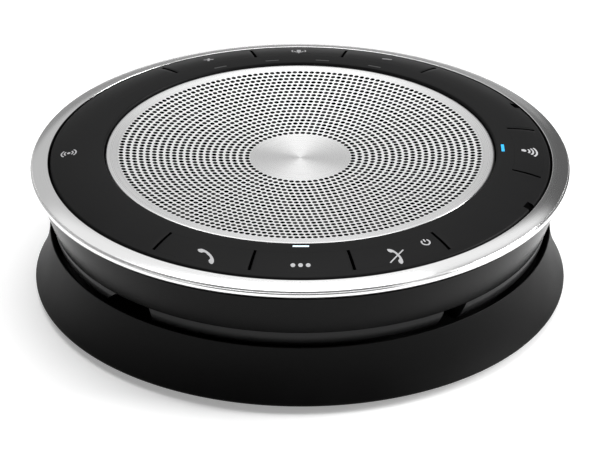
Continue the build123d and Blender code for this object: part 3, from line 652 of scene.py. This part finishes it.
def make_panel():
    """The crowned panel with its key windows, light slots and microphone notches."""
    top, under = panel_rows()
    rows = top + under
    count = len(rows)
    columns = panel_columns()
    row_of = {round(r, 3): i for i, (r, z) in enumerate(top)}
    under_of = {round(r, 3): len(top) + i for i, (r, z) in enumerate(under)}
    windows = [(KEY_INNER, KEY_OUTER, middle, len(keys) * wide + SLIT)
               for middle, wide, keys in KEY_GROUPS]
    windows += [(LIGHT_INNER, LIGHT_OUTER, middle, width) for middle, width in LIGHTS.values()]
    notch_first = row_of[NOTCH_INNER]
    notch_last = rows.index((PANEL_OUTER, NOTCH_FLOOR))
    points = []
    for angle in columns:
        for i, (radius, z) in enumerate(rows):
            worn = any(on_edge(angle, middle, width) and inner < radius < outer and i < len(top)
                       for inner, outer, middle, width in windows[:len(KEY_GROUPS)])
            points.append(around(radius, angle, z - (0.08 if worn else 0.0)))
    faces = []
    for c, angle in enumerate(columns):
        after = (c + 1) % len(columns)
        middle_angle = angle + ((columns[after] - angle) % 360) / 2
        here, there = c * count, after * count
        gone = set()
        for inner, outer, middle, width in windows:
            if between(middle_angle, middle, width):
                first, last = row_of[inner], row_of[outer]
                low_first, low_last = under_of[outer], under_of[inner]
                gone |= set(range(first, last)) | set(range(low_first, low_last))
                faces.append((here + first, there + first, there + low_last, here + low_last))
                faces.append((there + last, here + last, here + low_first, there + low_first))
        if any(between(middle_angle, middle, NOTCH_ANGLE) for middle in NOTCHES):
            gone |= set(range(notch_first, notch_last))
            faces.append((here + notch_first, there + notch_first, there + notch_last,
                          here + notch_last))
        faces += [(here + i, here + (i + 1) % count, there + (i + 1) % count, there + i)
                  for i in range(count) if i not in gone]
    for c, angle in enumerate(columns):
        base = c * count
        for inner, outer, middle, width in windows:
            if on_edge(angle, middle, width):
                first, last = row_of[inner], row_of[outer]
                low_first = under_of[outer]
                for k in range(last - first):
                    wall = (base + first + k, base + first + k + 1,
                            base + low_first + (last - first) - k - 1,
                            base + low_first + (last - first) - k)
                    starts = (angle - middle) % 360 > 180
                    faces.append(wall if starts else tuple(reversed(wall)))
        for middle in NOTCHES:
            if on_edge(angle, middle, NOTCH_ANGLE):
                wall = tuple(base + i for i in range(notch_first, notch_last + 1))
                faces.append(wall if (angle - middle) % 360 > 180 else tuple(reversed(wall)))
    # Walls of the key windows, light slots and notches, and the notch ramps, wear hole_shade: painted
    # shade in the openings
    make_piece("panel_skin", points, outward(points, faces), LOOKS["panel_black"], "housing",
               "panel_black", ["control_panel"], 40.0,
               [(LOOKS["hole_shade"], lambda corners: sunken(corners) or in_notch(corners))])


LIGHT_NODES = {"front_light": ["front_light_guide"], "side_light": ["side_light_guide"],
               "rear_light_a": ["rear_light_guides"]}


def make_key(name, middle, wide):
    """One key: a crowned sector flush with the panel, its sides a little rounded."""
    inner, outer = KEY_INNER + SEAM, KEY_OUTER - SEAM
    radii = [inner + (outer - inner) * k / 6 for k in range(7)]
    top = [(radius, crown_z(radius)) for radius in radii]
    under = [(radius, crown_z(radius, KEY_DEPTH)) for radius in reversed(radii)]
    half = (wide - SLIT) / 2
    inside = [half * (k / 12 - 1) for k in range(1, 24)]
    columns = [-half, -half + 0.05, -half + 0.15] + inside + [half - 0.15, half - 0.05, half]
    fall = {0: 0.14, 1: 0.03, len(columns) - 2: 0.03, len(columns) - 1: 0.14}
    rows = len(top) + len(under)
    points = []
    for c, angle in enumerate(columns):
        for i, (radius, z) in enumerate(top + under):
            lower = fall.get(c, 0.0) if i < len(top) else 0.0
            points.append(around(radius, middle + angle, z - lower))
    faces = [(c * rows + i, c * rows + (i + 1) % rows, (c + 1) * rows + (i + 1) % rows,
              (c + 1) * rows + i) for c in range(len(columns) - 1) for i in range(rows)]
    last = (len(columns) - 1) * rows
    for start, flip in ((0, False), (last, True)):
        for k in range(len(top) - 1):
            cap = (start + k, start + rows - 1 - k, start + rows - 2 - k, start + k + 1)
            faces.append(tuple(reversed(cap)) if flip else cap)
    # The key's side walls in the slits wear hole_shade: painted shade
    make_piece(f"{name}_cap", points, outward(points, faces), LOOKS["panel_black"],
               f"{name}_button", "panel_black", [f"{name}_key"], 40.0,
               [(LOOKS["hole_shade"], sunken)])


def make_lights():
    """Crowned light guides, a little below the panel's face, in its slots."""
    for name, (middle, width) in LIGHTS.items():
        radii = [LIGHT_INNER + (LIGHT_OUTER - LIGHT_INNER) * k / 4 for k in range(5)]
        section = [(radius, crown_z(radius, 0.06)) for radius in radii]
        section += [(radius, crown_z(radius, 1.0)) for radius in reversed(radii)]
        rows = len(section)
        columns = 12
        points = [around(radius, middle + width * (c / columns - 0.5), z)
                  for c in range(columns + 1) for radius, z in section]
        faces = [(c * rows + i, c * rows + (i + 1) % rows, (c + 1) * rows + (i + 1) % rows,
                  (c + 1) * rows + i) for c in range(columns) for i in range(rows)]
        last = columns * rows
        faces += [tuple(range(rows - 1, -1, -1)), tuple(last + i for i in range(rows))]
        slot = {"front_light": "lit_white", "side_light": "lit_blue"}.get(name, "clear_lens")
        make_piece(name, points, outward(points, faces), LOOKS[slot], "housing", slot,
                   LIGHT_NODES.get(name, ()), 40.0)


# ---------------------------------------------------------------- printed symbols
PRINT_LIFT = 0.02                # the ink stands this far above the surface
PRINT_THICK = 0.05


def strip(first, second, across=3):
    """A sheet between two outlines of plan points, with a few rows across."""
    points, faces = [], []
    for a, b in zip(first, second):
        for k in range(across + 1):
            points.append(tuple(Vector(a).lerp(Vector(b), k / across)))
    for i in range(len(first) - 1):
        for k in range(across):
            a = i * (across + 1) + k
            faces.append((a, a + 1, a + across + 2, a + across + 1))
    return points, faces


def stroke(path, width):
    """A sheet of even width along a path of plan points."""
    left, right = [], []
    for i, point in enumerate(path):
        before = Vector(path[max(i - 1, 0)])
        after = Vector(path[min(i + 1, len(path) - 1)])
        ahead = (after - before).normalized()
        side = Vector((-ahead.y, ahead.x)) * width / 2
        left.append(tuple(Vector(point) + side))
        right.append(tuple(Vector(point) - side))
    return strip(left, right, 1)


def arc(centre, radius, first, last, steps=14):
    """Points on an arc."""
    x, y = centre
    turns = [radians(first + (last - first) * k / steps) for k in range(steps + 1)]
    return [(x + radius * cos(turn), y + radius * sin(turn)) for turn in turns]


def disc(centre, radius, stretch=1.0):
    """A filled round, as a stroke that closes on itself."""
    rim = arc(centre, radius, 0, 360, 24)
    x, y = centre
    rim = [(px, y + (py - y) * stretch) for px, py in rim]
    return strip(rim, [(x + (px - x) * 0.02, y + (py - y) * 0.02) for px, py in rim], 2)


def handset(length):
    """A telephone handset: a bowed grip with an ear cap and a mouth cap."""
    outer = ((0, 1.35), (0.8, 1.32), (1.5, 1.2), (2.2, 1.0), (2.8, 0.68), (3.16, 0.1))
    inner = ((0, 0.72), (0.9, 0.72), (1.42, 0.5), (1.66, -0.1), (2.3, -0.34), (3.0, -0.22))
    scale = length / 6.3
    first = [(-x, y) for x, y in reversed(outer[1:])] + list(outer)
    second = [(-x, y) for x, y in reversed(inner[1:])] + list(inner)
    return strip([(x * scale, y * scale) for x, y in first],
                 [(x * scale, y * scale) for x, y in second])


def placed(shapes, radius, angle, turn, grow=1.0):
    """The shapes' plan points, turned and moved to a place on the panel."""
    centre = Vector(around(radius, angle, 0)[:2])
    spin = Matrix.Rotation(radians(turn), 2)
    points, faces = [], []
    for shape_points, shape_faces in shapes:
        first = len(points)
        points += [centre + spin @ Vector(point) * grow for point in shape_points]
        faces += [tuple(first + v for v in face) for face in shape_faces]
    return points, faces


def make_print(name, body, groups, look="print_grey"):
    """Ink on the crown: each group is (shapes, radius, angle, turn in plan)."""
    points, faces = [], []
    for group in groups:
        plan, plan_faces = placed(*group)
        first = len(points)
        points += [(p.x, p.y, crown_z(hypot(p.x, p.y)) + PRINT_LIFT) for p in plan]
        for face in plan_faces:
            corners = [plan[v] for v in face]
            area = sum(a.x * b.y - b.x * a.y for a, b in zip(corners, corners[1:] + corners[:1]))
            face = tuple(first + v for v in face)
            faces.append(face if area > 0 else tuple(reversed(face)))
    points, faces = thickened(points, faces, lambda point: PRINT_THICK)
    make_piece(name, points, faces, LOOKS[look], body, "connector_white", crease=30.0)


def waves(count, first_radius, step, width, spread_angle):
    """Arcs that fan out from a point, towards +X."""
    return [stroke(arc((0, 0), first_radius + step * k, -spread_angle, spread_angle), width)
            for k in range(count)]


def make_symbols():
    """The printed symbols of all keys, and the contactless sign on the panel."""
    make_print("call_symbol", "call_button", [([handset(5.8)], 52.0, -112.9, -58.5)])
    slash = stroke([(-2.6, 0), (0, 0), (2.6, 0)], 0.3)
    power = [stroke(arc((0, 0), 0.9, 130, 410), 0.34), stroke([(0, 0.15), (0, 0.6), (0, 1.05)], 0.34)]
    make_print("end_call_symbol", "end_call_button", [
        ([handset(5.2)], 51.8, -67.9, -55.5),
        ([slash], 51.9, -67.4, 57.0),
        (power, 50.0, -58.4, 28.0, 1.0)])
    dots = [disc((x, 0), 0.5, 1.15) for x in (-1.6, 0, 1.6)]
    make_print("menu_symbol", "menu_button", [(dots, 51.8, -90.3, 0)])
    rays = [disc((0, 0), 0.42)] + waves(3, 0.95, 0.62, 0.3, 42)
    make_print("wireless_symbol", "wireless_button", [(rays, 49.7, -0.7, 0, 1.35)])
    tag = [disc((0, 0), 0.38)] + waves(2, 0.95, 0.7, 0.3, 50)
    back = [([(-x, y) for x, y in points], faces) for points, faces in waves(2, 0.95, 0.7, 0.3, 50)]
    make_print("contactless_symbol", "housing", [(tag + back, 51.4, 181.3, 0)])
    minus = [stroke([(-1.15, 0), (0, 0), (1.15, 0)], 0.5)]
    bar = [stroke([(0, -1.15), (0, 0), (0, 1.15)], 0.5)]
    make_print("volume_down_symbol", "volume_down_button", [(minus, 50.9, 66, 0)], "faint_grey")
    make_print("volume_up_symbol", "volume_up_button", [(minus + bar, 50.9, 114.6, 0)], "faint_grey")
    mute = [strip([(-0.45, -0.5), (-0.5, 0.4), (-0.45, 1.3)], [(0.45, -0.5), (0.5, 0.4), (0.45, 1.3)]),
            stroke(arc((0, 0.1), 1.0, 180, 360), 0.3),
            stroke([(0, -0.9), (0, -1.3), (0, -1.6)], 0.34),
            stroke(arc((0, 0.3), 1.6, -35, 35), 0.26), stroke(arc((0, 0.3), 1.6, 145, 215), 0.26)]
    make_print("mute_symbol", "mute_button", [(mute, 50.7, 90, 0)], "faint_grey")


# ---------------------------------------------------------------- stage, lights and camera
CAMERA_DISTANCE = 0.750          # metres from the object, angles in degrees
CAMERA_RISE = 29.39
CAMERA_TILT = 28.64
CAMERA_ROLL = 0.16
CAMERA_TURN = -0.45
CAMERA_LENS = 198.5


def make_camera():
    camera = bpy.data.objects.new("camera", bpy.data.cameras.new("camera"))
    bpy.context.scene.collection.objects.link(camera)
    camera.data.lens = CAMERA_LENS
    camera.data.sensor_width = 36.0
    camera.data.clip_start = 0.01
    place = Matrix.Translation((0, -CAMERA_DISTANCE * cos(radians(CAMERA_RISE)),
                                CAMERA_DISTANCE * sin(radians(CAMERA_RISE)) + SKIRT_LOW.z * MM))
    aim = Matrix.Rotation(radians(90 - CAMERA_TILT), 4, "X")
    roll = Matrix.Rotation(radians(CAMERA_ROLL), 4, "Z")
    camera.matrix_world = Matrix.Rotation(radians(CAMERA_TURN), 4, "Z") @ place @ aim @ roll
    bpy.context.scene.camera = camera


# Soft boxes of the studio as (azimuth, half width, elevation, half height, softness, radiance)
STUDIO_BASE = 0.055
SOFT_BOXES = (
    (0.0, 200.0, 90.0, 28.0, 8.0, 1.15),
    (105.0, 45.0, 50.0, 15.0, 3.0, 0.9),
    (118.0, 42.0, 5.0, 12.0, 2.5, 0.25),
    (124.0, 42.0, 26.0, 9.0, 2.5, 0.52),
    (62.0, 28.0, 25.0, 24.0, 8.0, 0.07),
    (-20.0, 30.0, 12.0, 16.0, 6.0, 1.2),
    (200.0, 30.0, 10.0, 14.0, 6.0, 0.4),
)


def value_node(nodes, links, operation, *values):
    """A Math node on numbers and sockets."""
    node = nodes.new("ShaderNodeMath")
    node.operation = operation
    for socket, value in zip(node.inputs, values):
        if isinstance(value, (int, float)):
            socket.default_value = value
        else:
            links.new(value, socket)
    return node.outputs["Value"]


def soft_edge(nodes, links, value, half, softness):
    """One within half of zero, nought outside it, with a soft step between."""
    size = value_node(nodes, links, "ABSOLUTE", value)
    step = nodes.new("ShaderNodeMapRange")
    step.interpolation_type = "SMOOTHSTEP"
    step.inputs["From Min"].default_value = half + softness
    step.inputs["From Max"].default_value = half - softness
    links.new(size, step.inputs["Value"])
    return step.outputs["Result"]


def make_studio():
    """A white sky for the camera, and a dark studio with soft boxes for the light."""
    world = bpy.data.worlds.new("studio")
    world.use_nodes = True
    nodes, links = world.node_tree.nodes, world.node_tree.links
    coords = nodes.new("ShaderNodeTexCoord")
    parts = nodes.new("ShaderNodeSeparateXYZ")
    links.new(coords.outputs["Generated"], parts.inputs["Vector"])
    x, y, z = (parts.outputs[axis] for axis in "XYZ")
    elevation = value_node(nodes, links, "ARCSINE", z)
    total = STUDIO_BASE
    for azimuth, wide, height, tall, softness, radiance in SOFT_BOXES:
        turn = radians(azimuth)
        ahead = value_node(nodes, links, "ADD", value_node(nodes, links, "MULTIPLY", x, cos(turn)),
                           value_node(nodes, links, "MULTIPLY", y, sin(turn)))
        aside = value_node(nodes, links, "SUBTRACT", value_node(nodes, links, "MULTIPLY", y, cos(turn)),
                           value_node(nodes, links, "MULTIPLY", x, sin(turn)))
        across = soft_edge(nodes, links, value_node(nodes, links, "ARCTAN2", aside, ahead),
                           radians(wide), radians(softness))
        up = soft_edge(nodes, links, value_node(nodes, links, "SUBTRACT", elevation, radians(height)),
                       radians(tall), radians(softness))
        glow = value_node(nodes, links, "MULTIPLY", value_node(nodes, links, "MULTIPLY", across, up),
                          radiance)
        total = value_node(nodes, links, "ADD", glow, total)
    path = nodes.new("ShaderNodeLightPath")
    seen = nodes.new("ShaderNodeMix")
    links.new(path.outputs["Is Camera Ray"], seen.inputs["Factor"])
    links.new(total, seen.inputs["A"])
    seen.inputs["B"].default_value = 1.0
    background = nodes["Background"]
    background.inputs["Color"].default_value = (1.0, 1.0, 1.0, 1.0)
    links.new(seen.outputs["Result"], background.inputs["Strength"])
    bpy.context.scene.world = world


def make_lamp(name, at, size, power):
    """A square soft box aimed at the object."""
    lamp = bpy.data.objects.new(name, bpy.data.lights.new(name, "AREA"))
    bpy.context.scene.collection.objects.link(lamp)
    lamp.data.shape = "SQUARE"
    lamp.data.size = size
    lamp.data.energy = power
    lamp.location = at
    lamp.rotation_euler = (-Vector(at)).to_track_quat("-Z", "Y").to_euler()


def make_stage():
    """A plain pale floor."""
    bpy.ops.mesh.primitive_plane_add(size=8.0, location=(0, 0, 0))
    floor = bpy.context.object
    floor.name = "floor"
    look, nodes, links, shader = new_look("floor")
    links.new(mixed_colour(nodes, links, object_noise(nodes, links, 3.0), (0.86, 0.86, 0.86),
                           (0.88, 0.88, 0.88)), shader.inputs["Base Color"])
    shader.inputs["Roughness"].default_value = 0.9
    shader.inputs["Specular IOR Level"].default_value = 0.1
    shader.inputs["Emission Color"].default_value = (1.0, 1.0, 1.0, 1.0)
    shader.inputs["Emission Strength"].default_value = 0.3
    floor.data.materials.append(look)
    bpy.context.scene.view_settings.view_transform = "Standard"


dress_nodes()
make_ring()
make_cone_shell()
make_skirt()
make_band()
make_grille()
make_panel()
for group_middle, key_angle, key_names in KEY_GROUPS:
    for key_number, key_name in enumerate(key_names):
        make_key(key_name, group_middle + (key_number - (len(key_names) - 1) / 2) * key_angle,
                 key_angle)
make_lights()
make_symbols()
make_camera()
make_studio()
make_lamp("overhead", (-0.1, 0.25, 1.5), 1.3, 13.0)
make_lamp("right_side", (0.9, 0.05, 0.5), 0.6, 12.0)
make_stage()
